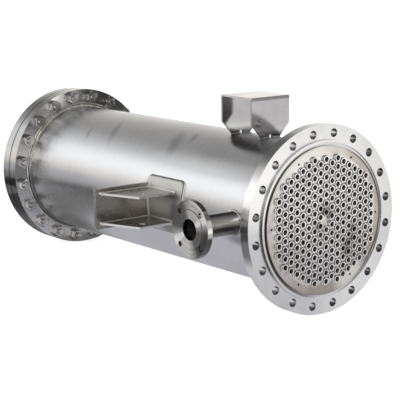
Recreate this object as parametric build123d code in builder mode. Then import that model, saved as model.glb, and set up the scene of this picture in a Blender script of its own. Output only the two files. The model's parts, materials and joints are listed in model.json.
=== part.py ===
from build123d import *
from math import sqrt
import os

# Shell and tube heat exchanger, all sizes in millimetres.
# +X runs along the vessel towards the open tube sheet, -Y faces the near side nozzle and lug,
# +Z is up. The origin is the centre of the near lug's seat, on the back of its base plate.

# Shell, and the lengths that place everything along it
shell_diameter = 546.0
shell_wall = 8.0
face_to_face = 1726.0
seat_to_front_face = 715.0

# Main flanges and the bolt ring that both ends share
flange_width = 76.25
front_flange_thickness = 42.0
rear_flange_thickness = 50.0
cover_thickness = 50.0
bolt_count = 20
bolt_hole_diameter = 32.0
bolt_from_rim = 31.75
flange_setback = 7.0
gasket_thickness = 4.0
gasket_bolt_clearance = 4.5
gasket_bore_clearance = 1.0

# Raised gasket ring on the front flange, with the groove inside it
groove_width = 11.0
groove_depth = 6.0
raised_ring_width = 8.0
raised_ring_height = 9.0

# Front tube sheet
sheet_thickness = 45.0
sheet_stand_out = 10.0
tube_pitch = 32.0
tube_bore = 20.0
tube_bore_sides = 6
tube_field_margin = 30.0
tube_field_half_height = 230.0
jack_hole_count = 6
jack_hole_from_rim = 22.0
jack_hole_diameter = 9.0
jack_hole_depth = 20.0
jack_hole_sides = 8
stud_hole_sides = 6

# Side nozzles, one near each end and on opposite sides, so that the flow crosses the whole shell
nozzle_from_flange = 135.0
nozzle_stand_out = 196.0
nozzle_pipe_diameter = 84.0
nozzle_pipe_wall = 3.0
nozzle_flange_diameter = 210.0
nozzle_flange_thickness = 22.0
nozzle_face_height = 2.0
nozzle_face_bolt_clearance = 2.0
nozzle_bolt_count = 4
nozzle_bolt_hole_diameter = 20.0
nozzle_bolt_from_rim = 21.0

# Support lugs
lug_depth = 239.0
lug_plate_height = 155.0
lug_plate_thickness = 15.0
gusset_spacing = 115.0
gusset_thickness = 8.0
gusset_length = 167.0
gusset_from_plate_edge = 23.0
gusset_end_depth = 153.0
pad_thickness = 8.0
pad_height = 204.0
pad_corner_radius = 22.0
pad_behind_seat = 7.0
pad_past_gussets = 46.0

# Top support, a level plate on two upright legs
support_from_front_face = 383.0
support_length = 183.0
support_width = 182.0
support_rise = 151.0
support_plate_thickness = 7.0
leg_thickness = 8.0
leg_corner_drop = 102.0
leg_corner_inset = 48.0
leg_notch_radius = 9.0

# Radii and reaches worked out from the sizes above
shell_radius = shell_diameter / 2
shell_bore_radius = shell_radius - shell_wall
flange_radius = shell_radius + flange_width
bolt_circle_radius = flange_radius - bolt_from_rim
groove_radius = shell_radius + groove_width
raised_ring_radius = groove_radius + raised_ring_width
gasket_radius = bolt_circle_radius - bolt_hole_diameter / 2 - gasket_bolt_clearance
pad_radius = shell_radius + pad_thickness
lug_reach = pad_radius + lug_depth
gusset_reach = lug_reach - gusset_from_plate_edge
gusset_end_reach = pad_radius + gusset_end_depth
axis_y = (pad_radius + lug_reach) / 2
nozzle_reach = shell_radius + nozzle_stand_out
nozzle_back_reach = nozzle_reach - nozzle_flange_thickness
nozzle_pipe_radius = nozzle_pipe_diameter / 2
nozzle_bore_radius = nozzle_pipe_radius - nozzle_pipe_wall
nozzle_bolt_circle_radius = nozzle_flange_diameter / 2 - nozzle_bolt_from_rim
nozzle_first_hole_angle = 180 / nozzle_bolt_count
nozzle_face_radius = nozzle_bolt_circle_radius - nozzle_bolt_hole_diameter / 2 - nozzle_face_bolt_clearance

# Places along the vessel, from the lug's seat
front_x = seat_to_front_face
front_flange_back_x = front_x - front_flange_thickness
sheet_back_x = front_x + sheet_stand_out - sheet_thickness
rear_x = front_x - face_to_face
cover_front_x = rear_x + cover_thickness
rear_flange_back_x = cover_front_x + gasket_thickness
shell_rear_x = rear_flange_back_x + flange_setback
near_nozzle_x = front_flange_back_x - nozzle_from_flange
far_nozzle_x = rear_flange_back_x + rear_flange_thickness + nozzle_from_flange
support_x = front_x - support_from_front_face

os.makedirs("parts", exist_ok=True)


def finish(part, name):
    """Label one finished piece and write its file."""
    part.label = name
    export_step(part, f"parts/{name}.step")


def across(x):
    """The plane square to the vessel's axis at x, with its own x along +Y and its y up."""
    return Plane(origin=(x, axis_y, 0), x_dir=(0, 1, 0), z_dir=(1, 0, 0))


def level(height):
    """The level plane at a height over the axis, with its own x along +X and its y along +Y."""
    return Plane(origin=(0, axis_y, height), x_dir=(1, 0, 0), z_dir=(0, 0, 1))


def outward(side, x, reach):
    """The upright plane beside the axis that looks out to one side; side is -1 near, 1 far."""
    return Plane(origin=(x, axis_y + side * reach, 0), x_dir=(-side, 0, 0), z_dir=(0, side, 0))


def bolt_ring(x):
    """The round bolt holes of a main flange, in the plane at x, off the upright centre line."""
    with BuildSketch(across(x)) as holes:
        with PolarLocations(bolt_circle_radius, bolt_count, start_angle=180 / bolt_count):
            Circle(bolt_hole_diameter / 2)
    return holes.sketch


def stud_ring(x):
    """The same ring where studs fill the holes, with few sides because nothing else goes in."""
    with BuildSketch(across(x)) as holes:
        with PolarLocations(bolt_circle_radius, bolt_count, start_angle=180 / bolt_count):
            RegularPolygon(bolt_hole_diameter / 2, stud_hole_sides, major_radius=False)
    return holes.sketch


def tube_places():
    """Tube centres on the sheet: upright columns on a triangular pitch, with a blank at the centre."""
    column_spacing = tube_pitch * sqrt(3) / 2
    field_radius = shell_radius - tube_field_margin
    half_columns = int(field_radius / column_spacing)
    half_rows = int(tube_field_half_height / tube_pitch) + 1
    places = []
    for column in range(-half_columns, half_columns + 1):
        stagger = tube_pitch / 2 if column % 2 else 0.0
        for row in range(-half_rows, half_rows + 1):
            place = Vector(column * column_spacing, row * tube_pitch + stagger)
            in_field = place.length <= field_radius and abs(place.Y) <= tube_field_half_height
            if in_field and place.length > 0:
                places.append(place)
    return places


# Shell, with a hole in each side for a nozzle
with BuildPart() as shell:
    with BuildSketch(across(shell_rear_x)):
        Circle(shell_radius)
        Circle(shell_bore_radius, mode=Mode.SUBTRACT)
    extrude(amount=sheet_back_x - shell_rear_x)
    for side, place_x in ((-1, near_nozzle_x), (1, far_nozzle_x)):
        with BuildSketch(outward(side, place_x, 0)):
            Circle(nozzle_pipe_radius)
        extrude(amount=shell_diameter, mode=Mode.SUBTRACT)
finish(shell.part, "shell")

# Front flange, turned to one profile: the bolted face, then the raised ring and its groove
with BuildPart() as front_flange:
    with BuildSketch(Plane(origin=(0, axis_y, 0), x_dir=(1, 0, 0), z_dir=(0, -1, 0))):
        with BuildLine():
            Polyline(
                (front_flange_back_x, shell_radius),
                (front_flange_back_x, flange_radius),
                (front_x, flange_radius),
                (front_x, raised_ring_radius),
                (front_x + raised_ring_height, raised_ring_radius),
                (front_x + raised_ring_height, groove_radius),
                (front_x + raised_ring_height - groove_depth, groove_radius),
                (front_x + raised_ring_height - groove_depth, shell_radius),
                close=True,
            )
        make_face()
    revolve(axis=Axis((0, axis_y, 0), (1, 0, 0)))
    extrude(bolt_ring(front_flange_back_x), amount=front_flange_thickness, mode=Mode.SUBTRACT)
finish(front_flange.part, "front_flange")

# Front tube sheet, seated in the flange and on the end of the shell. Its many tube bores and
# jack holes have few sides, with the flats of a bore towards its neighbours.
with BuildPart() as front_tube_sheet:
    with BuildSketch(across(sheet_back_x)):
        Circle(shell_radius)
        with Locations(*tube_places()):
            RegularPolygon(tube_bore / 2, tube_bore_sides, major_radius=False, mode=Mode.SUBTRACT)
    extrude(amount=sheet_thickness)
    with BuildSketch(across(front_x + sheet_stand_out)):
        with PolarLocations(shell_radius - jack_hole_from_rim, jack_hole_count):
            RegularPolygon(jack_hole_diameter / 2, jack_hole_sides)
    extrude(amount=-jack_hole_depth, mode=Mode.SUBTRACT)
finish(front_tube_sheet.part, "front_tube_sheet")

# Rear flange, ring gasket and flat cover, held together by studs
with BuildPart() as rear_flange:
    with BuildSketch(across(rear_flange_back_x)):
        Circle(flange_radius)
        Circle(shell_radius, mode=Mode.SUBTRACT)
    extrude(amount=rear_flange_thickness)
    extrude(stud_ring(rear_flange_back_x), amount=rear_flange_thickness, mode=Mode.SUBTRACT)
finish(rear_flange.part, "rear_flange")

with BuildPart() as rear_gasket:
    with BuildSketch(across(cover_front_x)):
        Circle(gasket_radius)
        Circle(shell_radius + gasket_bore_clearance, mode=Mode.SUBTRACT)
    extrude(amount=gasket_thickness)
finish(rear_gasket.part, "rear_gasket")

with BuildPart() as rear_cover:
    with BuildSketch(across(rear_x)):
        Circle(flange_radius)
    extrude(amount=cover_thickness)
    extrude(stud_ring(rear_x), amount=cover_thickness, mode=Mode.SUBTRACT)
finish(rear_cover.part, "rear_cover")


def nozzle_neck(side, x):
    """The pipe, from the shell's inner wall to the back of its flange."""
    with BuildPart() as neck:
        with BuildSketch(outward(side, x, 0)):
            Circle(nozzle_pipe_radius)
            Circle(nozzle_bore_radius, mode=Mode.SUBTRACT)
        extrude(amount=nozzle_back_reach)
        with BuildSketch(across(x)):
            Circle(shell_bore_radius)
        extrude(amount=nozzle_pipe_diameter, both=True, mode=Mode.SUBTRACT)
    return neck.part


def nozzle_flange(side, x):
    """The small four bolt flange, with a low raised face and its holes off the centre lines."""
    back = outward(side, x, nozzle_back_reach)
    with BuildPart() as flange:
        with BuildSketch(back):
            Circle(nozzle_flange_diameter / 2)
        extrude(amount=nozzle_flange_thickness - nozzle_face_height)
        with BuildSketch(back):
            Circle(nozzle_face_radius)
        extrude(amount=nozzle_flange_thickness)
        with BuildSketch(back):
            Circle(nozzle_bore_radius)
            with PolarLocations(nozzle_bolt_circle_radius, nozzle_bolt_count, nozzle_first_hole_angle):
                Circle(nozzle_bolt_hole_diameter / 2)
        extrude(amount=nozzle_flange_thickness, mode=Mode.SUBTRACT)
    return flange.part


def lug_pad(side):
    """The doubler plate that follows the shell, with rounded corners."""
    length = pad_behind_seat + lug_plate_thickness + gusset_length + pad_past_gussets
    middle_x = length / 2 - pad_behind_seat
    with BuildPart() as pad:
        with BuildSketch(across(middle_x)):
            Circle(pad_radius)
            Circle(shell_radius, mode=Mode.SUBTRACT)
        extrude(amount=length, both=True)
        with BuildSketch(outward(side, middle_x, 0)):
            RectangleRounded(length, pad_height, pad_corner_radius)
        extrude(amount=pad_radius, mode=Mode.INTERSECT)
    return pad.part


def lug_base_plate(side):
    """The plate across the axis that the vessel hangs by, cut to the pad's curve."""
    with BuildPart() as plate:
        with BuildSketch(across(0)):
            with Locations((side * lug_reach / 2, 0)):
                Rectangle(lug_reach, lug_plate_height)
            Circle(pad_radius, mode=Mode.SUBTRACT)
        extrude(amount=lug_plate_thickness)
    return plate.part


def lug_gusset(side, height):
    """One level gusset with a sloping outer edge, cut to the pad's curve."""
    start_x = lug_plate_thickness
    end_x = lug_plate_thickness + gusset_length
    with BuildPart() as gusset:
        with BuildSketch(level(height)):
            with BuildLine():
                Polyline(
                    (start_x, 0),
                    (start_x, side * gusset_reach),
                    (end_x, side * gusset_end_reach),
                    (end_x, 0),
                    close=True,
                )
            make_face()
        extrude(amount=gusset_thickness / 2, both=True)
        with BuildSketch(across(start_x)):
            Circle(pad_radius)
        extrude(amount=gusset_length, mode=Mode.SUBTRACT)
    return gusset.part


def support_leg(x):
    """One upright leg of the top support: clipped lower corners, a saddle foot and a weep notch."""
    half_width = support_width / 2
    half_foot = half_width - leg_corner_inset
    top = shell_radius + support_rise - support_plate_thickness
    corner = shell_radius + support_rise - leg_corner_drop
    foot = sqrt(shell_radius**2 - half_foot**2)
    with BuildPart() as leg:
        with BuildSketch(across(x)):
            with BuildLine():
                Polyline(
                    (-half_width, top),
                    (-half_width, corner),
                    (-half_foot, foot),
                    (half_foot, foot),
                    (half_width, corner),
                    (half_width, top),
                    close=True,
                )
            make_face()
            Circle(shell_radius, mode=Mode.SUBTRACT)
            with Locations((0, shell_radius)):
                Circle(leg_notch_radius, mode=Mode.SUBTRACT)
        extrude(amount=leg_thickness)
    return leg.part


# Nozzles, then lugs, the same on the near and the far side
for side_name, side, nozzle_x in (("near", -1, near_nozzle_x), ("far", 1, far_nozzle_x)):
    finish(nozzle_neck(side, nozzle_x), f"{side_name}_nozzle_neck")
    finish(nozzle_flange(side, nozzle_x), f"{side_name}_nozzle_flange")
    finish(lug_pad(side), f"{side_name}_lug_pad")
    finish(lug_base_plate(side), f"{side_name}_lug_base_plate")
    finish(lug_gusset(side, gusset_spacing / 2), f"{side_name}_lug_upper_gusset")
    finish(lug_gusset(side, -gusset_spacing / 2), f"{side_name}_lug_lower_gusset")

# Top support
finish(support_leg(support_x + support_length / 2 - leg_thickness), "top_support_front_leg")
finish(support_leg(support_x - support_length / 2), "top_support_rear_leg")

with BuildPart() as top_support_plate:
    with BuildSketch(level(shell_radius + support_rise)):
        with Locations((support_x, 0)):
            Rectangle(support_length, support_width)
    extrude(amount=-support_plate_thickness)
finish(top_support_plate.part, "top_support_plate")
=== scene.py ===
"""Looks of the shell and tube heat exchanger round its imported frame. Metres, +X to the tube sheet, +Z up."""
import json
from functools import reduce
from math import ceil, cos, hypot, pi, radians, sin, sqrt, tan

import bmesh
import bpy
from mathutils import Matrix, Vector


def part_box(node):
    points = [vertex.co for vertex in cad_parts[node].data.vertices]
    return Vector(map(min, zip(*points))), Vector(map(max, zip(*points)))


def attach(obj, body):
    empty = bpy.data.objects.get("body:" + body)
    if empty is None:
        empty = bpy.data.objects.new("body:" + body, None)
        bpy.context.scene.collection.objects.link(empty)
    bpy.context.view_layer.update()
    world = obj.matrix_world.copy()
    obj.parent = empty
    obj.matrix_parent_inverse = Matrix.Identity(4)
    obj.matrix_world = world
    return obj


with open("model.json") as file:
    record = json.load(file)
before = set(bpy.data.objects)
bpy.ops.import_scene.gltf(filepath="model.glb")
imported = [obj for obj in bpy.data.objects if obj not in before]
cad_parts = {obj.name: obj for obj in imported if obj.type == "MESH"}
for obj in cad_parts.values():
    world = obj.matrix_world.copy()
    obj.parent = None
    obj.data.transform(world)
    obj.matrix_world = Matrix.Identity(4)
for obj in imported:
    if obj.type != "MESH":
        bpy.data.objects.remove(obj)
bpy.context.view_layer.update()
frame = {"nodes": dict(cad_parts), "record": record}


def span(node, axis):
    """Lowest and highest value of a node's box along one axis, 0 to 2."""
    low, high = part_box(node)
    return low[axis], high[axis]


def half_height(node):
    """Half of a node's height, which is the radius of a round one."""
    low, high = span(node, 2)
    return (high - low) / 2


def nozzle_x(name):
    """Where the near or far nozzle stands along the vessel."""
    return sum(span(f"{name}_nozzle_flange", 0)) / 2


# Sizes read from the frame
shell_radius = half_height("shell")
axis_y = sum(span("shell", 1)) / 2
vessel_centre = (0.0, axis_y, 0.0)
flange_radius = half_height("front_flange")
front_flange_back_x = span("front_flange", 0)[0]
sheet_face_x = span("front_tube_sheet", 0)[1]
sheet_radius = half_height("front_tube_sheet")
rear_flange_front_x = span("rear_flange", 0)[1]
cover_back_x, cover_front_x = span("rear_cover", 0)
plate_corner_z = span("near_lug_base_plate", 2)[1]
pad_radius = hypot(axis_y - span("near_lug_base_plate", 1)[1], plate_corner_z)
nozzle_pipe_radius = half_height("near_nozzle_neck")
nozzle_flange_back = axis_y - span("near_nozzle_flange", 1)[1]
nozzle_flange_radius = half_height("near_nozzle_flange")

# Sizes of what this script adds
groove_radius = shell_radius + 0.011
raised_ring_radius = sheet_radius + 0.019
bolt_count = 20
bolt_from_rim = 0.03175
stud_radius = 0.0140
stud_past_nut = 0.010
thread_pitch = 0.0035
thread_depth = 0.0012
nut_across_flats = 0.046
nut_height = 0.024
washer_radius = 0.0265
washer_thickness = 0.004
washer_sides = 32
nut_turn = 0.7
tube_pitch = 0.032
tube_field_radius = shell_radius - 0.030
tube_field_half_height = 0.230
tube_outer_radius = 0.0125
tube_bore_radius = 0.0093
lip_bevel = 0.0006
lip_depth = 0.0008
tube_stand_out = 0.0080
tube_lip_radius = 0.0134
tube_weld_radius = 0.0150
nozzle_face_radius = 0.072
ripple_length = 0.0045
ripple_depth = 0.10
end_taper = 0.35
flange_bead = 0.0060
shade_ring_thickness = 0.0035
saddle_bead = 0.0055
collar_bead = 0.0045
pad_bead = 0.0050
lug_bead = 0.0045
gusset_bead = 0.0040

# Tones used more than once
# Oil stains, and the painted shade on the sheet's rim in the groove
oil_and_shade_colour = (0.10, 0.09, 0.08)
smear_colour = (0.20, 0.20, 0.205)
# Painted reflection of the rear nuts in the shell
nut_reflection_colour = (0.12, 0.11, 0.10)
shade_colour = (0.16, 0.155, 0.15)


def add_piece(name, builder, finish):
    """Link a builder's mesh as a piece that rides on the part."""
    mesh = builder.mesh(name)
    mesh.update()
    piece = bpy.data.objects.new(name, mesh)
    bpy.context.scene.collection.objects.link(piece)
    for polygon in mesh.polygons:
        polygon.use_smooth = True
    mesh.materials.append(finish.owner)
    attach(piece, "root")
    return piece


def smooth_by_angle(piece, degrees):
    """Keep edges sharp where faces turn by more than an angle."""
    limit = radians(degrees)
    form = bmesh.new()
    form.from_mesh(piece.data)
    for edge in form.edges:
        if len(edge.link_faces) == 2 and edge.calc_face_angle() > limit:
            edge.smooth = False
    form.to_mesh(piece.data)
    form.free()


class Builder:
    """Collects the vertices and faces of many like forms into one mesh."""

    def __init__(self):
        self.vertices = []
        self.faces = []

    def grid(self, rows, close_rows, close_columns):
        """Join rows of points by quads."""
        start = len(self.vertices)
        columns = len(rows[0])
        for row in rows:
            self.vertices.extend(row)
        for i in range(len(rows) if close_rows else len(rows) - 1):
            j = (i + 1) % len(rows)
            for k in range(columns if close_columns else columns - 1):
                m = (k + 1) % columns
                quad = (i * columns + k, i * columns + m, j * columns + m, j * columns + k)
                self.faces.append(tuple(start + index for index in quad))

    def cap(self, points):
        """Close one ring with a single face."""
        start = len(self.vertices)
        self.vertices.extend(points)
        self.faces.append(tuple(range(start, start + len(points))))

    def mesh(self, name):
        mesh = bpy.data.meshes.new(name)
        mesh.from_pydata([tuple(v) for v in self.vertices], [], self.faces)
        form = bmesh.new()
        form.from_mesh(mesh)
        bmesh.ops.remove_doubles(form, verts=form.verts, dist=1e-7)
        bmesh.ops.recalc_face_normals(form, faces=form.faces)
        form.to_mesh(mesh)
        form.free()
        return mesh


def lathe(builder, profile, place, sides, closed):
    """Turn a profile of (x, radius) points about an axis along X through place (y, z)."""
    rows = []
    for x, radius in profile:
        row = []
        for k in range(sides):
            turn = 2 * pi * k / sides
            row.append(Vector((x, place[0] + radius * cos(turn), place[1] + radius * sin(turn))))
        rows.append(row)
    builder.grid(rows, closed, True)


def bead(builder, path, radius, closed, sides=8):
    """A rippled weld bead along a path of points; an open one is rounded off at its ends."""
    count = len(path)
    length = 0.0
    lean = Vector((0.31, 0.23, 0.92))
    rows = []
    for i, point in enumerate(path):
        before = path[i - 1] if i or closed else point
        after = path[(i + 1) % count] if i < count - 1 or closed else point
        along = (after - before).normalized()
        side = along.cross(lean).normalized()
        other = along.cross(side)
        if i:
            length += (point - path[i - 1]).length
        size = radius * (1 + ripple_depth * sin(2 * pi * length / ripple_length))
        if not closed and i in (0, count - 1):
            size = radius * end_taper
        row = []
        for k in range(sides):
            turn = 2 * pi * k / sides
            row.append(point + size * (cos(turn) * side + sin(turn) * other))
        rows.append(row)
    builder.grid(rows, closed, True)
    if not closed:
        builder.cap(rows[0])
        builder.cap(rows[-1])


def weld_spot(builder, centre, radius, height):
    """A rounded spot of weld, as high above its centre as height says."""
    bands, sides = 6, 12
    turn = 2 * pi / sides
    rows = []
    for i in range(bands + 1):
        rise = pi * i / bands
        reach = radius * sin(rise)
        rows.append([
            centre + Vector((reach * cos(turn * k), reach * sin(turn * k), height * cos(rise)))
            for k in range(sides)
        ])
    builder.grid(rows, False, True)


def fine_line(start, end):
    """Points from start to end, close enough for the bead's ripples."""
    steps = max(3, ceil((end - start).length / (ripple_length / 3)))
    return [start.lerp(end, k / steps) for k in range(steps + 1)]


def turns(radius):
    """Angles round a circle, close enough for the bead's ripples."""
    steps = ceil(2 * pi * radius / (ripple_length / 2.5))
    return [2 * pi * k / steps for k in range(steps)]


def ring_path(x, radius):
    """A circle about the vessel's axis."""
    return [Vector((x, axis_y + radius * cos(turn), radius * sin(turn))) for turn in turns(radius)]


# Materials
class Nodes:
    """Short ways to build a node tree; axis and centre give the line that its metal was turned about."""

    def __init__(self, owner, shader="Principled BSDF", axis="X", centre=vessel_centre):
        owner.use_nodes = True
        self.owner = owner
        self.tree = owner.node_tree
        self.shader = self.tree.nodes[shader]
        self.axis = axis
        self.centre = centre

    def add(self, kind, **settings):
        """A new node; settings name its properties or its inputs."""
        node = self.tree.nodes.new(f"ShaderNode{kind}")
        for key, value in settings.items():
            if key in node.bl_rna.properties:
                setattr(node, key, value)
            else:
                node.inputs[key.replace("_", " ")].default_value = value
        return node

    def join(self, source, target):
        """Link a socket to an input, or set the input to a plain value."""
        if isinstance(source, (int, float, tuple)):
            target.default_value = source
        else:
            self.tree.links.new(source, target)

    def set(self, **values):
        """Give inputs of the shader a value that is the same all over."""
        for key, value in values.items():
            self.shader.inputs[key.replace("_", " ")].default_value = value

    def math(self, operation, *values, kind="Math", output=0):
        """One arithmetic node on numbers and sockets."""
        node = self.add(kind, operation=operation)
        for value, socket in zip(values, node.inputs):
            self.join(value, socket)
        return node.outputs[output]

    def vector(self, operation, *values):
        """One arithmetic node on vectors; lengths and dot products give a number."""
        output = "Value" if operation in ("LENGTH", "DOT_PRODUCT") else "Vector"
        return self.math(operation, *values, kind="VectorMath", output=output)

    def coordinate(self, kind, axis):
        """One axis of a point's place, "Object", or of the way its surface faces, "Normal"."""
        split = self.add("SeparateXYZ")
        self.join(self.add("TexCoord").outputs[kind], split.inputs[0])
        return split.outputs[axis]

    def remap(self, value, low, high, start=0, end=1):
        """A value stretched from one range to another and kept in it."""
        node = self.add("MapRange", From_Min=low, From_Max=high, To_Min=start, To_Max=end)
        self.join(value, node.inputs["Value"])
        return node.outputs[0]

    def between(self, value, low, high, soft):
        """1 where a value lies between two limits, 0 outside, with soft edges."""
        return self.product(
            self.remap(value, low - soft, low + soft), self.remap(value, high - soft, high + soft, 1, 0))

    def product(self, *masks):
        """Masks multiplied together."""
        return reduce(lambda one, other: self.math("MULTIPLY", one, other), masks)

    def most(self, *masks):
        """The strongest of some masks."""
        return reduce(lambda one, other: self.math("MAXIMUM", one, other), masks)

    def opposite(self, mask):
        """1 where a mask is 0, and 0 where it is 1."""
        return self.math("SUBTRACT", 1.0, mask)

    def along(self, axis, low, high, start=0, end=1):
        """Goes from start to end between two places along an axis of the part."""
        return self.remap(self.coordinate("Object", axis), low, high, start, end)

    def from_axis(self):
        """The shortest vector to a point from the material's axis."""
        offset = self.vector("SUBTRACT", self.add("TexCoord").outputs["Object"], self.centre)
        return self.vector("MULTIPLY", offset, tuple(0.0 if name == self.axis else 1.0 for name in "XYZ"))

    def radius(self):
        """Distance from the material's axis."""
        return self.vector("LENGTH", self.from_axis())

    def band(self, low, high, soft):
        """1 between two radii about the axis."""
        return self.between(self.radius(), low, high, soft)

    def way_round(self, degrees):
        """Where a point lies round the axis: 1 on the given side, -1 opposite, 0 square to it."""
        turn = radians(degrees)
        aim = (0, cos(turn), sin(turn)) if self.axis == "X" else (cos(turn), 0, sin(turn))
        return self.vector("DOT_PRODUCT", self.vector("NORMALIZE", self.from_axis()), aim)

    def side(self, degrees, low, high, start=0, end=1):
        """Goes from start to end towards one side of the axis, by the limits of way_round."""
        return self.remap(self.way_round(degrees), low, high, start, end)

    def wedges(self, degrees, low, high):
        """Two opposite wedges, 1 along the given diameter and 0 away from it."""
        return self.remap(self.math("ABSOLUTE", self.way_round(degrees)), low, high)

    def lobes(self, *lobes):
        """Soft stretches round the axis, each as (degrees, half its width, strength)."""
        return self.most(*(
            self.side(degrees, cos(radians(half_width)), cos(radians(half_width * 0.4)), 0, strength)
            for degrees, half_width, strength in lobes))

    def facing(self, axis=None):
        """How far the surface faces along an axis, either way, from 0 to 1."""
        return self.math("ABSOLUTE", self.coordinate("Normal", axis or self.axis))

    def across(self, axis=None):
        """1 where the surface faces across an axis, 0 where it faces along it."""
        return self.remap(self.facing(axis), 0.3, 0.6, 1, 0)

    def toward(self, axis, sign=1, low=0.3, high=0.6):
        """1 where the surface faces one way along an axis, 0 elsewhere."""
        return self.remap(self.product(self.coordinate("Normal", axis), sign), low, high)

    def textured(self, kind, vector, **settings):
        """The strength of a texture that is laid out by a vector."""
        texture = self.add(kind, **settings)
        self.join(vector, texture.inputs["Vector"])
        return texture.outputs["Fac"]

    def mapped(self, **settings):
        """The place of a point, moved, turned and scaled."""
        mapping = self.add("Mapping", **settings)
        self.join(self.add("TexCoord").outputs["Object"], mapping.inputs["Vector"])
        return mapping.outputs[0]

    def noise(self, scale, detail=3.0, roughness=0.5, offset=(0, 0, 0)):
        """Noise in the part's own frame, stretched by a scale along each axis."""
        place = self.mapped(Scale=scale, Location=offset)
        return self.textured("TexNoise", place, Scale=1.0, Detail=detail, Roughness=roughness)

    def fine_rings(self, per_metre):
        """Uneven turned rings about the axis."""
        place = self.add("CombineXYZ")
        self.join(self.product(self.radius(), per_metre), place.inputs["X"])
        return self.remap(self.textured("TexNoise", place.outputs[0], Scale=1.0, Detail=2.0), 0.42, 0.58)

    def smudge(self, centre, turn, size):
        """A soft oval spot, 1 at its centre; size is its half length along each turned axis."""
        spot = self.mapped(vector_type="TEXTURE", Location=centre, Rotation=turn, Scale=size)
        return self.remap(self.textured("TexGradient", spot, gradient_type="SPHERICAL"), 0.0, 0.7)

    def tint(self, strength, low_colour, high_colour):
        """Colour the shader between two tones by a strength from 0 to 1."""
        ramp = self.add("ValToRGB")
        for element, colour in zip(ramp.color_ramp.elements, (low_colour, high_colour)):
            element.color = (*colour, 1)
        self.join(strength, ramp.inputs[0])
        self.join(ramp.outputs[0], self.shader.inputs["Base Color"])

    def tone(self, mask, colour, strength=1.0):
        """Lay another tone over the colour; the mask is a socket or a function of the nodes."""
        value = mask(self) if callable(mask) else mask
        mix = self.add("Mix", data_type="RGBA")
        self.join(self.product(value, strength), mix.inputs["Factor"])
        self.join(self.shader.inputs["Base Color"].links[0].from_socket, mix.inputs[6])
        mix.inputs[7].default_value = (*colour, 1)
        self.join(mix.outputs[2], self.shader.inputs["Base Color"])

    def matte(self, mask, metallic):
        """Make the metal less of a mirror where a mask says."""
        self.join(self.remap(mask(self), 0, 1, 1.0, metallic), self.shader.inputs["Metallic"])


def steel(
        name, colours, roughness, grain_scale, patch_scale, bump, anisotropic=0.0, axis="X",
        centre=vessel_centre, metallic=1.0):
    """Stainless steel: fine grain and broad patches in colour and gloss; turned metal spreads its gloss."""
    metal = Nodes(bpy.data.materials.new(name), axis=axis, centre=centre)
    metal.set(Metallic=metallic)
    grain = metal.noise(grain_scale, detail=4.0, roughness=0.6)
    patches = metal.noise(patch_scale, detail=2.0)
    strength = metal.math("ADD", patches, metal.math("MULTIPLY_ADD", grain, 0.5, -0.25))
    metal.tint(metal.remap(strength, 0.3, 0.7), *colours)
    inputs = metal.shader.inputs
    metal.join(metal.remap(strength, 0.25, 0.75, *roughness), inputs["Roughness"])
    if anisotropic:
        metal.set(Anisotropic=anisotropic, Anisotropic_Rotation=0.25)
        metal.join(metal.add("Tangent", direction_type="RADIAL", axis=axis).outputs[0], inputs["Tangent"])
    relief = metal.add("Bump", Strength=bump, Distance=0.0005)
    metal.join(grain, relief.inputs["Height"])
    metal.join(relief.outputs[0], inputs["Normal"])
    return metal


def spot_on_shell(x, degrees, size, lean=0.0):
    """A mask of one soft spot on the shell; degrees run from the top towards the near side."""
    turn = radians(degrees)
    centre = (x, axis_y - shell_radius * sin(turn), shell_radius * cos(turn))
    return lambda nodes: nodes.smudge(centre, (turn, 0, lean), size)


def rear_painted_highlight(nodes):
    """The painted highlight beside the rear flange's weld, on the upper near side."""
    wide = spot_on_shell(-0.83, 42, (0.085, 0.20, 0.20))(nodes)
    small = spot_on_shell(-0.890, 73, (0.070, 0.060, 0.060))(nodes)
    return nodes.most(nodes.product(wide, 0.45), small)


def groove(nodes):
    """Painted shade on the bottom and wall of the groove round the tube sheet, darkest on the near side."""
    ring = nodes.band(shell_radius, groove_radius, 0.0006)
    return nodes.product(ring, nodes.side(200, 0.35, 0.85, 0.2, 1))


def ring_wall(nodes):
    """The outer wall of the raised ring, where a highlight is painted."""
    return nodes.product(nodes.band(groove_radius + 0.0060, groove_radius + 0.0115, 0.0005), nodes.across())


def ring_foot(nodes):
    """The face beside the raised ring, above on the near side, where a highlight is painted."""
    foot = nodes.band(raised_ring_radius - 0.0005, raised_ring_radius + 0.0110, 0.001)
    return nodes.product(foot, nodes.toward("X"), nodes.side(130, 0.72, 0.92))


def foot_line(nodes):
    """Painted shade in a dark line where the raised ring meets the flange's face, on the near side."""
    line = nodes.band(raised_ring_radius + 0.0002, raised_ring_radius + 0.0025, 0.0004)
    return nodes.product(line, nodes.toward("X"), nodes.side(160, 0.30, 0.70))


def dull_parts(nodes):
    """Where the front flange mirrors less: the raised ring's wall and the face beside it."""
    return nodes.most(ring_wall(nodes), nodes.product(ring_foot(nodes), 0.7))


def ring_wall_shade(nodes):
    """Painted shade on the raised ring's outer wall, in two stretches of the near side."""
    stretches = nodes.most(nodes.side(192, 0.80, 0.96), nodes.side(150, 0.985, 0.998, 0, 0.6))
    return nodes.product(ring_wall(nodes), stretches)


def hole_walls(nodes):
    """The walls of the bolt holes, which face across the axis between the raised ring and the rim."""
    return nodes.product(nodes.band(groove_radius + 0.014, flange_radius - 0.006, 0.002), nodes.across())


def bright_wall(nodes):
    """The stretch of a hole's wall that looks out to the near side, where a highlight is painted."""
    return nodes.toward("Y", -1, 0.955, 0.992)


def hole_wall_shade(nodes):
    """The hole walls but for their bright stretch, in painted shade."""
    return nodes.product(hole_walls(nodes), nodes.opposite(bright_wall(nodes)))


def hole_wall_highlight(nodes):
    """The painted highlight on each hole's wall, but for the holes on the far side."""
    return nodes.product(hole_walls(nodes), bright_wall(nodes), nodes.side(0, 0.4, 0.8, 1, 0.2))


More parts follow.
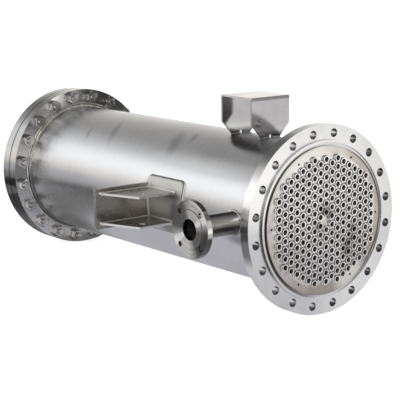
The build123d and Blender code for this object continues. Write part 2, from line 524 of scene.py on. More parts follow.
def rim_lobes(*lobes):
    """A mask of soft stretches of a large flange's rim, for painted reflections."""
    return lambda nodes: nodes.product(
        nodes.band(flange_radius - 0.002, flange_radius + 0.01, 0.001), nodes.across(), nodes.lobes(*lobes))


def face_lobes(*lobes):
    """A mask of soft stretches of a large flange's face, for painted highlights and shade."""
    return lambda nodes: nodes.product(nodes.toward("X"), nodes.lobes(*lobes))


def gasket_line(nodes):
    """The stained edges of the rims on both sides of the rear gasket."""
    low, high = span("rear_gasket", 0)
    return nodes.between(nodes.coordinate("Object", "X"), low - 0.0022, high + 0.0022, 0.0006)


def sheet_edge_shade(nodes):
    """The rim of the sheet, which faces into the groove, in painted shade darkest on the near side."""
    return nodes.product(nodes.across(), nodes.side(200, 0.35, 0.85, 0.35, 1))


def between_tubes(nodes):
    """The brighter steel between the tubes."""
    blank_radius, soft, limit = 0.018, 0.003, tube_field_half_height
    inside = nodes.band(blank_radius, tube_field_radius, soft)
    return nodes.product(inside, nodes.between(nodes.coordinate("Object", "Z"), -limit, limit, soft))


def oil_stains(nodes):
    """Dark stains round a few of the tubes."""
    total = 0.0
    for y, z, size in (
            (-0.008, 0.038, 0.030), (0.018, 0.022, 0.022), (0.131, -0.043, 0.026), (0.131, -0.079, 0.022),
            (0.103, -0.095, 0.024), (0.103, -0.126, 0.026), (-0.036, -0.018, 0.020)):
        spot = nodes.smudge((sheet_face_x, axis_y + y, z), (0, 0, 0), (1.0, size, size))
        total = nodes.math("ADD", spot, total)
    return nodes.math("MINIMUM", total, 1.0)


def brown_patches(nodes):
    """Uneven brown patches, as handling and test water leave."""
    patches = nodes.noise((14, 14, 14), detail=4.0, roughness=0.6, offset=(0.3, 0.1, 0.7))
    return nodes.remap(patches, 0.48, 0.66)


def sheet_rim_shade(nodes):
    """Painted shade in a line at the edge of the sheet, darkest on the far side."""
    line = nodes.band(sheet_radius - 0.0065, sheet_radius + 0.0015, 0.0008)
    return nodes.product(line, nodes.side(5, 0.40, 0.82, 0.15, 1))


def margin_shine(nodes):
    """The lighter stretches of the sheet's margin, above on the near side and low on the far side."""
    return nodes.most(nodes.side(115, 0.60, 0.92, 0, 0.6), nodes.side(298, 0.94, 0.99))


def bore(nodes):
    """The inside of a nozzle's pipe, where shade is painted."""
    return nodes.remap(nodes.radius(), nozzle_pipe_radius - 0.002, nozzle_pipe_radius - 0.001, 1, 0)


def back_and_underside_shade(nodes):
    """Painted shade on the backs of the legs and the underside of the plate."""
    return nodes.most(nodes.toward("X", -1), nodes.toward("Z", -1))


def leg_foot_shade(nodes):
    """Painted shade in a strip over the legs' feet."""
    return nodes.along("Z", shell_radius + 0.006, shell_radius + 0.026, 1, 0)


def under_plate(nodes):
    """Painted shade in a strip of a leg right under the plate."""
    plate_z = span("top_support_plate", 2)[0]
    return nodes.product(nodes.along("Z", plate_z - 0.007, plate_z - 0.005), nodes.toward("X"))


def weld_top_highlight(nodes):
    """The top of the vessel, where a highlight is painted on the weld."""
    return nodes.along("Z", 0.06, 0.16)


def make_turned_nozzle(name):
    """A turned nozzle flange with rings and a step, and painted highlights and shade: bright across one
    diameter, dark across the other.
    """
    metal = steel(
        f"{name} nozzle flange", ((0.62, 0.61, 0.57), (0.78, 0.77, 0.73)), (0.18, 0.28),
        (60, 180, 60), (12, 8, 12), 0.06, anisotropic=0.7, axis="Y",
        centre=(nozzle_x(name), 0.0, 0.0))
    face, walls = metal.facing(), metal.across()
    step, edge = nozzle_face_radius, nozzle_flange_radius
    metal.tone(metal.fine_rings(260), (0.30, 0.295, 0.27), 0.6)
    # Painted shade across one diameter of the face.
    dark_wedges = metal.opposite(metal.wedges(57, 0.50, 0.88))
    metal.tone(metal.product(dark_wedges, face), (0.11, 0.107, 0.097), 0.92)
    # Painted shade on the bolt holes' walls and in the bore.
    hole_ring = metal.band(step + 0.001, edge - 0.006, 0.0005)
    metal.tone(metal.product(hole_ring, walls), (0.06, 0.06, 0.06), 0.85)
    metal.tone(metal.product(bore(metal), walls), (0.09, 0.08, 0.09), 0.9)
    # A painted highlight in a streak across the face.
    metal.tone(metal.product(metal.wedges(30, 0.972, 0.995), face), (0.97, 0.96, 0.93), 0.85)
    # Painted shade at the step, then a painted glint beside it.
    metal.tone(metal.band(step - 0.0008, step + 0.0014, 0.0006), (0.06, 0.06, 0.06), 0.6)
    step_glint = metal.product(metal.band(step + 0.0018, step + 0.0045, 0.0006), metal.side(25, 0.5, 0.8))
    metal.tone(step_glint, (0.96, 0.95, 0.93), 0.8)
    # Painted dark reflections on the rim, but for its painted glints.
    bright_rim = metal.most(
        metal.side(2, 0.975, 0.990), metal.side(42, 0.9970, 0.9990), metal.side(20, 0.925, 0.970, 0, 0.75))
    rim = metal.band(edge - 0.0015, edge + 0.01, 0.0005)
    metal.tone(metal.product(rim, walls, metal.opposite(bright_rim)), (0.05, 0.05, 0.052), 0.92)
    # Painted shade on a stretch of the face outside the step, then a painted highlight along its edge.
    outer_ring = metal.band(step + 0.002, edge - 0.004, 0.002)
    metal.tone(metal.product(outer_ring, metal.side(-28, 0.76, 0.94), face), (0.06, 0.058, 0.055), 0.92)
    edge_ring = metal.band(edge - 0.0070, edge + 0.005, 0.004)
    metal.tone(metal.product(edge_ring, metal.side(52, 0.72, 0.92), face), (0.98, 0.975, 0.96), 0.9)
    return metal


brushed_shell = steel(
    "brushed shell", ((0.58, 0.582, 0.59), (0.65, 0.652, 0.66)), (0.23, 0.31),
    (420, 3, 3), (5, 6, 6), 0.025, anisotropic=0.6)
for x, degrees, lean, size, colour, strength in (
        (-0.400, 33, 0.45, (0.024, 0.090, 0.090), smear_colour, 0.40),
        (-0.557, 42, 0.4, (0.014, 0.045, 0.045), smear_colour, 0.40),
        (0.030, 34, 0.5, (0.040, 0.100, 0.100), smear_colour, 0.40),
        (0.100, 24, 0.5, (0.020, 0.050, 0.050), smear_colour, 0.40),
        # The next two rows are painted reflections of the rear nuts in the shell.
        (-0.894, 27, 0, (0.024, 0.050, 0.050), nut_reflection_colour, 0.8),
        (-0.894, 52, 0, (0.024, 0.050, 0.050), nut_reflection_colour, 0.8),
        # A painted highlight that lifts the edge of the shell's bright band towards the front.
        (0.36, 49, 0, (0.42, 0.040, 0.10), (0.93, 0.93, 0.93), 0.55),
        # The next row is painted shade low on the near side by the front flange; the last row is a painted
        # dark reflection low on the shell's rear half.
        (0.58, 103, 0, (0.13, 0.030, 0.05), (0.18, 0.18, 0.19), 0.75),
        (-0.58, 142, 0, (0.20, 0.09, 0.09), (0.20, 0.20, 0.20), 0.55)):
    brushed_shell.tone(spot_on_shell(x, degrees, size, lean), colour, strength)
# Painted highlight beside the rear flange, where the metal is also made less of a mirror.
brushed_shell.tone(rear_painted_highlight, (0.96, 0.95, 0.92), 0.95)
brushed_shell.matte(rear_painted_highlight, 0.2)

turned_flange = steel(
    "turned flange", ((0.70, 0.695, 0.685), (0.78, 0.775, 0.765)), (0.20, 0.30),
    (180, 30, 30), (4, 9, 9), 0.03, anisotropic=0.7)
# Painted shade in the groove round the tube sheet.
turned_flange.tone(groove, (0.07, 0.06, 0.05), 0.85)
# A painted highlight and a painted shade in stretches of the flange's face.
turned_flange.tone(face_lobes((298, 45, 0.8)), (0.97, 0.965, 0.955))
turned_flange.tone(face_lobes((20, 45, 0.45)), (0.50, 0.49, 0.475))
# Painted highlight on the raised ring's outer wall.
turned_flange.tone(ring_wall, (0.92, 0.91, 0.89), 0.9)
# Painted shade on two stretches of the raised ring's wall.
turned_flange.tone(ring_wall_shade, (0.05, 0.045, 0.04), 0.95)
# Painted highlight on the face beside the raised ring.
turned_flange.tone(ring_foot, (0.97, 0.965, 0.95), 0.7)
# Painted shade where the raised ring meets the face.
turned_flange.tone(foot_line, (0.10, 0.095, 0.09), 0.35)
turned_flange.matte(dull_parts, 0.25)
# Painted shade on the bolt holes' walls, and a painted highlight on the stretch that looks out to the near
# side.
turned_flange.tone(hole_wall_shade, (0.13, 0.125, 0.115), 0.85)
turned_flange.tone(hole_wall_highlight, (0.97, 0.965, 0.95))
# Painted dark reflections on two stretches of the flange's rim.
turned_flange.tone(rim_lobes((126, 16, 0.75), (189, 13, 0.85)), (0.12, 0.12, 0.125))

rear_steel = steel(
    "rear flange", ((0.58, 0.575, 0.565), (0.70, 0.695, 0.685)), (0.10, 0.18),
    (180, 30, 30), (4, 9, 9), 0.03, anisotropic=0.6)
# A painted highlight and painted shade in stretches of the rear flange's face.
rear_steel.tone(face_lobes((122, 17, 0.9)), (0.99, 0.98, 0.95))
rear_steel.tone(face_lobes((66, 26, 0.5), (146, 10, 0.35), (180, 14, 0.6)), (0.12, 0.12, 0.12))
rear_steel.tone(gasket_line, (0.04, 0.04, 0.04), 0.8)
# Painted reflections on the rims of the rear flange and cover: dark stretches and one light stretch.
rear_steel.tone(rim_lobes((132, 50, 0.55)), (0.14, 0.14, 0.14))
rear_steel.tone(rim_lobes((172, 12, 0.3)), (0.93, 0.90, 0.84))
rear_steel.tone(rim_lobes((129, 16, 0.55), (198, 26, 0.92), (222, 16, 0.45)), (0.05, 0.05, 0.052))

sheet_steel = steel(
    "tube sheet", ((0.50, 0.47, 0.42), (0.74, 0.715, 0.68)), (0.26, 0.42), (60, 60, 60), (12, 10, 10), 0.06)
# Darker towards the bottom of the sheet.
darker_low_part = sheet_steel.along("Z", 0.10, -0.26)
sheet_steel.tone(darker_low_part, (0.36, 0.32, 0.27), 0.6)
# Darker towards the far side of the sheet.
darker_far_part = sheet_steel.side(-20, -0.5, 0.7)
sheet_steel.tone(darker_far_part, (0.36, 0.33, 0.30), 0.5)
sheet_steel.tone(brown_patches, (0.34, 0.30, 0.26), 0.55)
sheet_steel.tone(margin_shine, (0.90, 0.88, 0.84), 0.75)
# Painted shade at the edge of the sheet, by the gap to the flange.
sheet_steel.tone(sheet_rim_shade, (0.05, 0.046, 0.042), 0.92)
sheet_steel.tone(between_tubes, (0.86, 0.85, 0.82), 0.55)
sheet_steel.tone(oil_stains, oil_and_shade_colour, 0.6)
# Painted shade on the sheet's rim in the groove.
sheet_steel.tone(sheet_edge_shade, oil_and_shade_colour, 0.9)

pipe_steel = steel(
    "nozzle pipe", ((0.48, 0.475, 0.45), (0.58, 0.575, 0.55)), (0.18, 0.26),
    (60, 300, 60), (10, 6, 10), 0.03, anisotropic=0.5, axis="Y", centre=(nozzle_x("near"), 0, 0),
    metallic=0.7)
# Painted dark reflections in stretches round the pipe, then a painted highlight.
dark_stretches = pipe_steel.lobes((84, 44, 0.95), (-16, 20, 0.9), (-40, 30, 0.75))
pipe_steel.tone(dark_stretches, (0.025, 0.021, 0.014))
pipe_steel.tone(pipe_steel.lobes((20, 22, 0.6)), (0.92, 0.88, 0.78))
# Painted shade inside the pipe.
pipe_steel.tone(bore, (0.09, 0.08, 0.09), 0.9)

pad_steel = steel(
    "doubler pad", ((0.54, 0.535, 0.52), (0.68, 0.67, 0.65)), (0.46, 0.60),
    (8, 160, 160), (10, 12, 12), 0.03)
# Painted light on the pad: a lighter patch, then painted shade at its right end, a painted shadow under the
# upper gusset and painted shade by the lower gusset.
for x, z, length, height, colour, strength in (
        (0.075, -0.015, 0.095, 0.045, (1.0, 0.98, 0.95), 0.8),
        (0.190, -0.010, 0.040, 0.075, shade_colour, 0.75),
        (0.175, 0.048, 0.080, 0.026, (0.16, 0.15, 0.14), 0.75),
        (0.135, -0.085, 0.080, 0.032, (0.16, 0.16, 0.17), 0.7)):
    spot = pad_steel.smudge((x, axis_y - shell_radius, z), (0, 0, 0), (length, 0.10, height))
    pad_steel.tone(spot, colour, strength)

lug_steel = steel(
    "lug plate", ((0.32, 0.29, 0.25), (0.44, 0.415, 0.375)), (0.20, 0.32), (30, 30, 240), (10, 12, 12), 0.03)
lug_steel.tone(lug_steel.across("X"), (0.50, 0.49, 0.48), 0.8)
gusset_steel = steel(
    "gusset plate", ((0.40, 0.395, 0.37), (0.50, 0.495, 0.47)), (0.20, 0.32),
    (240, 30, 30), (10, 12, 12), 0.03)
gusset_steel.tone(gusset_steel.across("Z"), (0.84, 0.83, 0.78))
# A darker copy of the gusset steel: painted shade on the lower gusset.
shaded_low_gusset_steel = steel(
    "lower gusset plate", ((0.24, 0.23, 0.20), (0.34, 0.33, 0.30)), (0.20, 0.32),
    (240, 30, 30), (10, 12, 12), 0.03)
shaded_low_gusset_steel.tone(shaded_low_gusset_steel.across("Z"), (0.84, 0.83, 0.80))

support_steel = steel(
    "support plate", ((0.455, 0.44, 0.44), (0.52, 0.505, 0.505)), (0.07, 0.12),
    (20, 20, 300), (8, 8, 8), 0.02)
support_top_steel = steel(
    "support top plate", ((0.66, 0.65, 0.63), (0.74, 0.73, 0.71)), (0.20, 0.30),
    (300, 20, 20), (8, 8, 8), 0.02)
# Painted shade on the backs and undersides of the support.
for support_finish in (support_steel, support_top_steel):
    support_finish.tone(back_and_underside_shade, (0.42, 0.395, 0.38), 0.9)
# Painted shade over the legs' feet.
support_steel.tone(leg_foot_shade, (0.06, 0.06, 0.06), 0.9)
# Painted shade on the legs under the plate.
support_steel.tone(under_plate, shade_colour, 0.7)
support_top_steel.tone(support_top_steel.across("Z"), (0.80, 0.79, 0.77))
# Painted shade on the plate's edges that face along the vessel.
end_edges_shade = support_top_steel.remap(support_top_steel.facing("X"), 0.3, 0.6)
support_top_steel.tone(end_edges_shade, shade_colour, 0.9)

weld_steel = steel(
    "weld bead", ((0.26, 0.24, 0.20), (0.52, 0.50, 0.45)), (0.20, 0.34), (120, 120, 120), (30, 30, 30), 0.1)
silver_weld_steel = steel(
    "cleaned weld bead", ((0.42, 0.415, 0.39), (0.82, 0.815, 0.79)), (0.20, 0.32),
    (60, 60, 60), (24, 24, 24), 0.05)
# Painted shade on the low side of the welds and a painted highlight on their top.
weld_low_shade = silver_weld_steel.along("Z", 0.06, -0.04)
silver_weld_steel.tone(weld_low_shade, (0.10, 0.095, 0.085), 0.8)
silver_weld_steel.tone(weld_top_highlight, (0.90, 0.87, 0.76), 0.8)
silver_weld_steel.matte(weld_top_highlight, 0.45)
pale_weld_steel = steel(
    "brushed weld bead", ((0.74, 0.70, 0.62), (0.96, 0.95, 0.92)), (0.30, 0.44),
    (120, 120, 120), (30, 30, 30), 0.1, metallic=0.45)
# Heat tinted welds; the same steel colours the painted shade ring by the rear flange.
dark_weld_steel = steel(
    "heat tinted weld and shade ring", ((0.10, 0.095, 0.085), (0.30, 0.29, 0.27)), (0.28, 0.42),
    (120, 120, 120), (30, 30, 30), 0.1)
end_of_pad = dark_weld_steel.remap(dark_weld_steel.facing("X"), 0.35, 0.6)
dark_weld_steel.tone(end_of_pad, (0.88, 0.87, 0.84))
stud_steel = steel(
    "stud and nut", ((0.40, 0.39, 0.38), (0.70, 0.69, 0.67)), (0.08, 0.18),
    (200, 120, 120), (40, 40, 40), 0.03)

tube_steel = steel(
    "tube end", ((0.74, 0.73, 0.70), (0.97, 0.965, 0.95)), (0.24, 0.38), (150, 150, 150), (9, 9, 9), 0.06)
tube_wall = steel(
    "tube wall", ((0.16, 0.15, 0.14), (0.34, 0.325, 0.31)), (0.35, 0.5), (150, 150, 150), (30, 30, 30), 0.06)
# Painted shade on the outside wall of each tube's stand-out.
tube_outside_shade = steel(
    "tube outside", ((0.03, 0.027, 0.024), (0.10, 0.093, 0.085)), (0.35, 0.5),
    (150, 150, 150), (30, 30, 30), 0.06)
for tube_finish in (tube_steel, tube_wall):
    tube_finish.tone(oil_stains, oil_and_shade_colour, 0.6)

gasket_sheet = Nodes(bpy.data.materials.new("gasket sheet"))
gasket_grain = gasket_sheet.noise((300, 300, 300))
gasket_sheet.tint(gasket_grain, (0.012, 0.012, 0.013), (0.035, 0.035, 0.037))
gasket_roughness = gasket_sheet.remap(gasket_grain, 0.3, 0.7, 0.6, 0.8)
gasket_sheet.join(gasket_roughness, gasket_sheet.shader.inputs["Roughness"])

by_slot = {
    "brushed_shell": brushed_shell,
    "turned_flange": turned_flange,
    "tube_sheet": sheet_steel,
    "nozzle_pipe": pipe_steel,
    "lug_plate": lug_steel,
    "support_plate": support_steel,
    "gasket": gasket_sheet,
}
by_ending = {
    "near_nozzle_flange": make_turned_nozzle("near"),
    "far_nozzle_flange": make_turned_nozzle("far"),
    "lug_pad": pad_steel,
    "rear_flange": rear_steel,
    "rear_cover": rear_steel,
    "upper_gusset": gusset_steel,
    "lower_gusset": shaded_low_gusset_steel,
    "support_plate": support_top_steel,
}
for row in frame["record"]["subparts"]:
    node = frame["nodes"][row["node"]]
    node.data.materials.clear()
    finish = by_slot.get(row["material_slot"])
    for ending, own in by_ending.items():
        if row["node"].endswith(ending):
            finish = own
    node.data.materials.append(finish.owner)


# Tubes, from the face of the sheet to the rear end
def tube_places():
    """Tube centres as (y, z): upright columns on a triangular pitch, with a blank at the centre."""
    column_spacing = tube_pitch * sqrt(3) / 2
    half_columns = int(tube_field_radius / column_spacing)
    half_rows = int(tube_field_half_height / tube_pitch) + 1
    places = []
    for column in range(-half_columns, half_columns + 1):
        stagger = tube_pitch / 2 if column % 2 else 0.0
        for row in range(-half_rows, half_rows + 1):
            y = column * column_spacing
            z = row * tube_pitch + stagger
            if 0 < hypot(y, z) <= tube_field_radius and abs(z) <= tube_field_half_height:
                places.append((axis_y + y, z))
    return places


def build_tubes():
    """Every tube as one turned pipe with a bright cut end, dull walls, painted shade on the outside of its
    stand-out, and a weld collar on the sheet.
    """
    lip_x = sheet_face_x + tube_stand_out
    rear_x = cover_front_x + 0.02
    weld_top, weld_foot = sheet_face_x + 0.0022, sheet_face_x - 0.0002
    profile = [
        (rear_x, tube_bore_radius),
        (lip_x - lip_depth, tube_bore_radius),
        (lip_x, tube_bore_radius + lip_bevel),
        (lip_x, tube_lip_radius - lip_bevel),
        (lip_x - lip_depth, tube_lip_radius),
        (weld_top, tube_outer_radius),
        (weld_foot, tube_weld_radius),
        (weld_foot - 0.0018, tube_outer_radius),
        (rear_x, tube_outer_radius),
    ]
    bore_band, outer_band = 0, 4
    sides = 20
    builder = Builder()
    for place in tube_places():
        lathe(builder, profile, place, sides, True)
    piece = add_piece("tubes", builder, tube_steel)
    piece.data.materials.append(tube_wall.owner)
    piece.data.materials.append(tube_outside_shade.owner)
    for polygon in piece.data.polygons:
        band = polygon.index // sides % len(profile)
        polygon.material_index = {bore_band: 1, outer_band: 2}.get(band, 0)
    smooth_by_angle(piece, 50)


build_tubes()


# Studs, nuts and washers of the rear joint
def hex_reach(turn):
    """Distance from a nut's centre to its hexagon, at an angle."""
    flat = pi / 3
    return nut_across_flats / 2 / cos((turn + flat / 2) % flat - flat / 2)


def build_nut(builder, face_x, place, first_turn):
    """A hexagon nut on a washer on a flange's face; returns the X of the nut's top."""
    low = face_x + washer_thickness
    high = low + nut_height
    washer = [(face_x, stud_radius), (face_x, washer_radius), (low, washer_radius), (low, stud_radius)]
    lathe(builder, washer, place, washer_sides, True)
    round_reach = 0.95 * nut_across_flats / 2
    sides = 36
    rows = [[] for _ in range(6)]
    for k in range(sides):
        turn = 2 * pi * k / sides
        reach = hex_reach(turn)
        bevel = (reach - round_reach) * tan(radians(30))
        spots = (
            (low, stud_radius), (low, round_reach), (low + bevel, reach),
            (high - bevel, reach), (high, round_reach), (high, stud_radius),
        )
        for row, (x, radius) in zip(rows, spots):
            y = place[0] + radius * cos(turn + first_turn)
            z = place[1] + radius * sin(turn + first_turn)
            row.append(Vector((x, y, z)))
    builder.grid(rows, True, True)
    return high


def build_studs():
    """Twenty studs, each with a nut and threads in front and a low collar on the cover's back."""
    builder = Builder()
    circle = flange_radius - bolt_from_rim
    collar_radius = washer_radius - 0.002
    rear = cover_back_x - washer_thickness
    rear_end = rear - 0.003
    bevel = 0.002
    collar = [
        (cover_back_x, stud_radius), (cover_back_x, collar_radius),
        (rear + 0.0012, collar_radius), (rear, collar_radius - bevel), (rear, stud_radius),
    ]
    for k in range(bolt_count):
        angle = radians(360 / bolt_count * (k + 0.5))
        place = (axis_y + circle * cos(angle), circle * sin(angle))
        front = build_nut(builder, rear_flange_front_x, place, angle + nut_turn * k)
        lathe(builder, collar, place, washer_sides, True)
        profile = [(rear_end, 0.0), (rear_end, stud_radius - bevel), (rear, stud_radius)]
        front_end = front + stud_past_nut
        x = front
        while x < front_end - 0.0015:
            profile.append((x, stud_radius))
            profile.append((x + thread_pitch / 2, stud_radius - thread_depth))
            x += thread_pitch
        profile.append((front_end, stud_radius - bevel))
        profile.append((front_end, 0.0))
        lathe(builder, profile, place, 24, False)
    piece = add_piece("rear_joint_studs", builder, stud_steel)
    smooth_by_angle(piece, 28)


build_studs()


# Welds
def saddle_path(x, side, radius):
    """The curve where a nozzle pipe of this radius meets the shell."""
    path = []
    for turn in turns(radius):
        z = radius * sin(turn)
        path.append(Vector((x + radius * cos(turn), axis_y + side * sqrt(shell_radius**2 - z**2), z)))
    return path


def on_round(x, z, radius, side):
    """A point on a cylinder about the vessel's axis."""
    return Vector((x, axis_y + side * sqrt(radius**2 - z**2), z))


def curved_line(x0, z0, x1, z1, radius, side):
    """A line on a cylinder about the vessel's axis, in its own flattened x and z."""
    steps = max(3, ceil(hypot(x1 - x0, z1 - z0) / (ripple_length / 3)))
    return [
        on_round(x0 + (x1 - x0) * k / steps, z0 + (z1 - z0) * k / steps, radius, side)
        for k in range(steps + 1)
    ]


def pad_path(node, side):
    """The outline of a lug's pad on the shell, with round corners."""
    (x0, x1), (z0, z1) = span(node, 0), span(node, 2)
    corner = 0.022
    path = []
    for cx, cz, start in ((x1, z1, 0), (x0, z1, 90), (x0, z0, 180), (x1, z0, 270)):
        cx -= corner if cx == x1 else -corner
        cz -= corner if cz == z1 else -corner
        for k in range(9):
            turn = radians(start + 90 * k / 8)
            path.append((cx + corner * cos(turn), cz + corner * sin(turn)))
    points = []
    for (ax, az), (bx, bz) in zip(path, path[1:] + path[:1]):
        steps = max(1, ceil(hypot(bx - ax, bz - az) / (ripple_length / 2.5)))
        for k in range(steps):
            x, z = ax + (bx - ax) * k / steps, az + (bz - az) * k / steps
            points.append(on_round(x, z, shell_radius, side))
    return points


def build_nozzle_welds(name, side):
    """The beads at both ends of a nozzle's pipe; side is -1 for the near one and +1 for the far one."""
    builder = Builder()
    x, radius = nozzle_x(name), nozzle_pipe_radius + 0.001
    bead(builder, saddle_path(x, side, radius), saddle_bead, True)
    y = axis_y + side * (nozzle_flange_back - 0.001)
    collar = [Vector((x + radius * cos(turn), y, radius * sin(turn))) for turn in turns(nozzle_pipe_radius)]
    bead(builder, collar, collar_bead, True)
    add_piece(f"{name}_nozzle_welds", builder, silver_weld_steel)


def build_lug_welds(name, side):
    """The bead round a lug's pad, and the beads and spots of weld on its plates."""
    pad = Builder()
    bead(pad, pad_path(f"{name}_lug_pad", side), pad_bead, True)
    add_piece(f"{name}_pad_weld", pad, dark_weld_steel)

    dark, bright = Builder(), Builder()
    plate_x = span(f"{name}_lug_base_plate", 0)[1]
    z_edge = span(f"{name}_lug_base_plate", 2)[1]
    bead(bright, curved_line(plate_x, -z_edge, plate_x, z_edge, pad_radius, side), pad_bead, False)
    for half in ("upper", "lower"):
        node = f"{name}_lug_{half}_gusset"
        low_z, high_z = span(node, 2)
        gusset_end_x = span(node, 0)[1]
        tip = span(node, 1)[0] if side < 0 else span(node, 1)[1]
        for z in (low_z, high_z):
            bead(bright, curved_line(plate_x, z, gusset_end_x, z, pad_radius, side), gusset_bead, False)
            inner = on_round(plate_x, z, pad_radius, side)
            bead(dark, fine_line(inner, Vector((plate_x, tip, z))), lug_bead, False)
        weld_spot(bright, Vector((plate_x + 0.002, tip + side * 0.002, high_z - 0.002)), 0.0060, 0.0060)
        weld_spot(bright, on_round(gusset_end_x, high_z, pad_radius, side), 0.0060, 0.0060)
        on_gusset = Vector((plate_x + 0.127, axis_y + side * 0.388, high_z))
        weld_spot(bright, on_gusset, 0.0055, 0.0030)
        if half == "lower":
            weld_spot(bright, on_gusset - Vector((0.010, 0, 0)), 0.0125, 0.0012)
    weld_spot(bright, on_round(plate_x + 0.001, z_edge - 0.003, pad_radius, side), 0.0070, 0.0080)
    inner_corner = span(f"{name}_lug_lower_gusset", 2)[1] + 0.006
    weld_spot(bright, on_round(plate_x + 0.001, inner_corner, pad_radius, side), 0.0065, 0.0065)
    add_piece(f"{name}_lug_welds", dark, dark_weld_steel)
    add_piece(f"{name}_lug_bright_welds", bright, pale_weld_steel)


def build_welds():
    """Weld beads where the pieces meet, one joined piece for each place, and a dark ring of painted shade by
    the rear flange.
    """
    rings = Builder()
    bead(rings, ring_path(front_flange_back_x - 0.001, shell_radius + 0.001), flange_bead, True)
    bead(rings, ring_path(rear_flange_front_x + 0.002, shell_radius + 0.002), flange_bead, True)
    add_piece("flange_welds", rings, silver_weld_steel)
    # A dark ring of painted shade beside the rear flange's weld.
    shade_ring_piece = Builder()
    bead(shade_ring_piece, ring_path(rear_flange_front_x + 0.001, shell_radius + 0.014), shade_ring_thickness, True)
    add_piece("rear_flange_shade_ring", shade_ring_piece, dark_weld_steel)
    for name, side in (("near", -1), ("far", 1)):
        build_nozzle_welds(name, side)
        build_lug_welds(name, side)

    support = Builder()
    half_slot, half_foot, steps = 0.009, 0.043, 20
    for node in ("top_support_front_leg", "top_support_rear_leg"):
        for x in span(node, 0):
            for sign in (-1, 1):
                path = []
                for k in range(steps + 1):
                    y = sign * (half_slot + (half_foot - half_slot) * k / steps)
                    path.append(Vector((x, axis_y + y, sqrt(shell_radius**2 - y**2))))
                bead(support, path, gusset_bead, False)
    add_piece("support_welds", support, weld_steel)


build_welds()


# Floor, light and camera
def add_flat(name, corners):
    """A flat form with four corners, and the nodes of its material."""
    mesh = bpy.data.meshes.new(name)
    mesh.from_pydata(corners, [], [(0, 1, 2, 3)])
    flat = bpy.data.objects.new(name, mesh)
    bpy.context.scene.collection.objects.link(flat)
    nodes = Nodes(bpy.data.materials.new(name))
    nodes.set(Specular_IOR_Level=0.0)
    mesh.materials.append(nodes.owner)
    return flat, nodes


def build_floor():
    """A wide pale floor under the flanges, lifted towards white only for the eye."""
    half = 40.0
    corners = ((-half, -half), (half, -half), (half, half), (-half, half))
    floor, nodes = add_flat("floor", [(x, y, -flange_radius) for x, y in corners])
    nodes.set(Base_Color=(0.90, 0.90, 0.96, 1), Roughness=1.0, Emission_Color=(0.97, 0.96, 1, 1))
    rays = nodes.add("LightPath").outputs
    to_eye = nodes.product(rays["Is Camera Ray"], 0.85)
    to_steel = nodes.product(rays["Is Glossy Ray"], 0.22)
    nodes.join(nodes.math("ADD", to_eye, to_steel), nodes.shader.inputs["Emission Strength"])


def add_card(name, corners, level, warm=0.0):
    """A flat studio card that only shows in the steel; corners run around it."""
    card, nodes = add_flat(name, corners)
    nodes.set(Base_Color=(0, 0, 0, 1), Emission_Color=(1 + warm, 1, 1 - warm, 1), Emission_Strength=level)
    card.visible_camera = False
    card.visible_diffuse = False
    card.visible_shadow = False
    card.visible_transmission = False


def upright_card(name, start, end, low, high, level, warm=0.0):
    """An upright card over a line on the floor from start to end, (x, y) each."""
    (x0, y0), (x1, y1) = start, end
    add_card(name, [(x0, y0, low), (x1, y1, low), (x1, y1, high), (x0, y0, high)], level, warm)


def flat_card(name, x_range, y_range, z, level, warm=0.0):
    """A level card."""
    (x0, x1), (y0, y1) = x_range, y_range
    add_card(name, [(x0, y0, z), (x1, y0, z), (x1, y1, z), (x0, y1, z)], level, warm)


def build_cards():
    """White and dark cards around the vessel, as in a product photographer's studio."""
    low = -flange_radius + 0.002
    upright_card("white_card_front", (1.54, 1.79), (2.9, 0.3), low, 0.06, 1.42, 0.01)
    upright_card("pale_card_front", (1.54, 1.79), (2.9, 0.3), 0.06, 1.1, 0.96, -0.01)
    upright_card("dark_card_far", (1.53, 1.80), (-0.4, 3.6), low, 1.4, 0.10)
    flat_card("dark_card_rear_foot", (-1.5, -0.76), (-0.6, 0.75), low, 0.22)
    flat_card("grey_card_left", (-3.4, -1.0), (-2.8, -0.45), low, 0.48)
    flat_card("dark_card_back", (-4.5, -1.2), (1.8, 5.0), low, 0.10)
    flat_card("dark_card_left_foot", (-2.2, -1.05), (-1.05, -0.3), low + 0.002, 0.10)


def grey_ramp(nodes, stops):
    """A ramp from (place, brightness, warmth) stops; places run from 0 to 1."""
    ramp = nodes.add("ValToRGB")
    elements = ramp.color_ramp.elements
    while len(elements) < len(stops):
        elements.new(0.5)
    for element, (place, level, warm) in zip(elements, stops):
        element.position = place
        element.color = (level * (1 + warm), level, level * (1 - warm), 1)
    return ramp


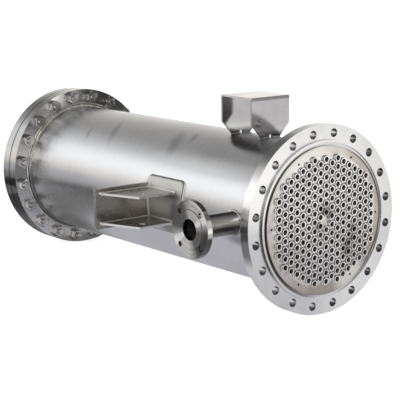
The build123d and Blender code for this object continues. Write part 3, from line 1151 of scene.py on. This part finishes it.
def build_world():
    """Soft studio surround: a bright band on the near side, a warm glow low on the far side, dim above."""
    world = bpy.data.worlds.new("studio")
    bpy.context.scene.world = world
    nodes = Nodes(world, "Background")
    near = grey_ramp(nodes, [
        (0.00, 0.75, 0.05), (0.10, 1.05, 0.04), (0.22, 1.42, 0.0), (0.34, 1.62, -0.015),
        (0.44, 1.45, -0.015), (0.52, 0.80, 0.0), (0.59, 0.32, 0.0), (1.00, 0.30, 0.0)])
    far = grey_ramp(nodes, [
        (0.00, 1.35, 0.02), (0.15, 1.10, 0.04), (0.33, 0.85, 0.05), (0.50, 0.55, 0.03),
        (0.58, 0.35, 0.0), (1.00, 0.30, 0.0)])
    front = grey_ramp(nodes, [
        (0.00, 1.20, 0.0), (0.12, 1.00, 0.0), (0.25, 0.40, 0.0), (0.40, 0.16, 0.0), (1.00, 0.25, 0.0)])

    def blend_by(value, low, high, first, second):
        """Goes from one colour to another as a value rises from low to high."""
        blend = nodes.add("MapRange", interpolation_type="SMOOTHSTEP", From_Min=low, From_Max=high)
        nodes.join(value, blend.inputs["Value"])
        mix = nodes.add("Mix", data_type="RGBA")
        for source, target in ((blend.outputs[0], "Factor"), (first, 6), (second, 7)):
            nodes.join(source, mix.inputs[target])
        return mix.outputs[2]

    for ramp in (near, far, front):
        nodes.join(nodes.coordinate("Generated", "Z"), ramp.inputs[0])
    rear_half = blend_by(nodes.coordinate("Generated", "Y"), -0.12, 0.12, near.outputs[0], far.outputs[0])
    surround = blend_by(nodes.coordinate("Generated", "X"), -0.05, 0.25, rear_half, front.outputs[0])
    white = nodes.add("RGB").outputs[0]
    white.default_value = (1, 1, 1, 1)
    seen = nodes.add("LightPath").outputs["Is Camera Ray"]
    nodes.join(blend_by(seen, 0.0, 1.0, surround, white), nodes.shader.inputs["Color"])
    nodes.shader.inputs["Strength"].default_value = 1.0


def build_lights():
    """One broad softbox high on the camera's side, for form and faint shadows."""
    data = bpy.data.lights.new("key", "AREA")
    data.shape = "RECTANGLE"
    data.size = 3.0
    data.size_y = 2.0
    data.energy = 60.0
    light = bpy.data.objects.new("key", data)
    place = Vector((2.6, -3.2, 3.2))
    aim = Vector((0, axis_y, 0))
    light.location = place
    light.rotation_euler = (aim - place).to_track_quat("-Z", "Y").to_euler()
    bpy.context.scene.collection.objects.link(light)


def build_camera():
    """The photograph's view: a long lens from the near front, a little above."""
    place = Vector((4.2112, -2.7900, 0.9711))
    azimuth, elevation, roll = radians(52.985), radians(10.715), radians(-0.676)
    back = Vector((sin(azimuth) * cos(elevation), -cos(azimuth) * cos(elevation), sin(elevation)))
    right = (-back).cross(Vector((0, 0, 1))).normalized()
    up = right.cross(-back)
    rolled_right = right * cos(roll) + up * sin(roll)
    rolled_up = up * cos(roll) - right * sin(roll)
    data = bpy.data.cameras.new("camera")
    data.sensor_width = 36.0
    data.lens = 120.15
    data.clip_end = 100.0
    camera = bpy.data.objects.new("camera", data)
    turn = Matrix((rolled_right, rolled_up, back)).transposed().to_4x4()
    camera.matrix_world = Matrix.Translation(place) @ turn
    bpy.context.scene.collection.objects.link(camera)
    bpy.context.scene.camera = camera
    bpy.context.scene.view_settings.view_transform = "Standard"


build_floor()
build_cards()
build_world()
build_lights()
build_camera()
